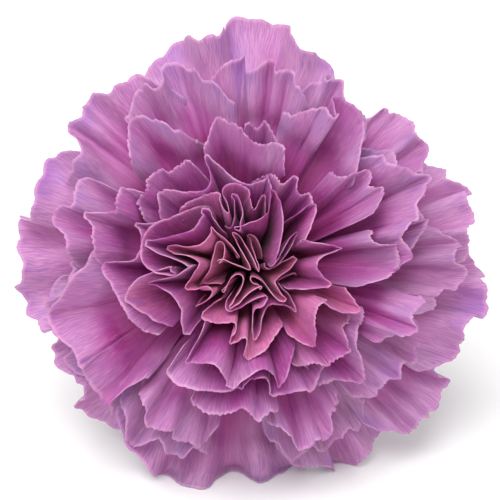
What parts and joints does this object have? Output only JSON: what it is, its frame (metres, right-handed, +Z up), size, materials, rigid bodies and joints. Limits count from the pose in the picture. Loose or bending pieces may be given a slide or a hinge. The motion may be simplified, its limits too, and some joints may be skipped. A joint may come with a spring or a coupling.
{
  "type": "carnation flower",
  "caption": "Cut carnation lying on its side: a full, ruffled mauve-pink bloom in a green calyx with clasping bracts, on a short cut stem.",
  "frame": {"origin": "middle of the bounding box in plan, on the surface that the flower lies on", "axes": "+Z up; the bloom faces -Y and upwards, and its stem runs back to +Y and down to the surface; +X is to the right of a viewer who faces the bloom"},
  "size_m": [0.0772, 0.0862, 0.0677],
  "materials": {
    "petal": "soft matte, mauve-pink with darker magenta veins and a paler rim",
    "heart_petal": "soft matte, dusty rose and salmon-pink",
    "calyx": "satin with a waxy bloom, grey-green",
    "bract": "satin with a waxy bloom, grey-green",
    "stem": "satin with a waxy bloom, grey-green",
    "pistil": "satin, greenish white"
  },
  "bodies": {
    "root": {"guard_petal_1": "petal", "guard_petal_2": "petal", "guard_petal_3": "petal", "guard_petal_4": "petal", "guard_petal_5": "petal", "guard_petal_6": "petal", "guard_petal_7": "petal", "guard_petal_8": "petal", "lower_petal_1": "petal", "lower_petal_2": "petal", "lower_petal_3": "petal", "lower_petal_4": "petal", "lower_petal_5": "petal", "lower_petal_6": "petal", "lower_petal_7": "petal", "outer_petal_1": "petal", "outer_petal_2": "petal", "outer_petal_3": "petal", "outer_petal_4": "petal", "outer_petal_5": "petal", "outer_petal_6": "petal", "collar_petal_1": "petal", "collar_petal_2": "petal", "collar_petal_3": "petal", "collar_petal_4": "petal", "collar_petal_5": "petal", "collar_petal_6": "petal", "middle_petal_1": "petal", "middle_petal_2": "petal", "middle_petal_3": "petal", "middle_petal_4": "petal", "middle_petal_5": "petal", "middle_petal_6": "petal", "inner_petal_1": "petal", "inner_petal_2": "petal", "inner_petal_3": "petal", "inner_petal_4": "petal", "inner_petal_5": "petal", "fold_petal_1": "petal", "fold_petal_2": "petal", "fold_petal_3": "petal", "fold_petal_4": "petal", "fold_petal_5": "petal", "crest_petal_1": "heart_petal", "crest_petal_2": "heart_petal", "crest_petal_3": "heart_petal", "crest_petal_4": "heart_petal", "core_petal_1": "heart_petal", "core_petal_2": "heart_petal", "core_petal_3": "heart_petal", "heart_petal_1": "heart_petal", "heart_petal_2": "heart_petal", "calyx": "calyx", "bract_1": "bract", "bract_2": "bract", "bract_3": "bract", "bract_4": "bract", "stem": "stem", "pistil": "pistil"}
  },
  "joints": []
}
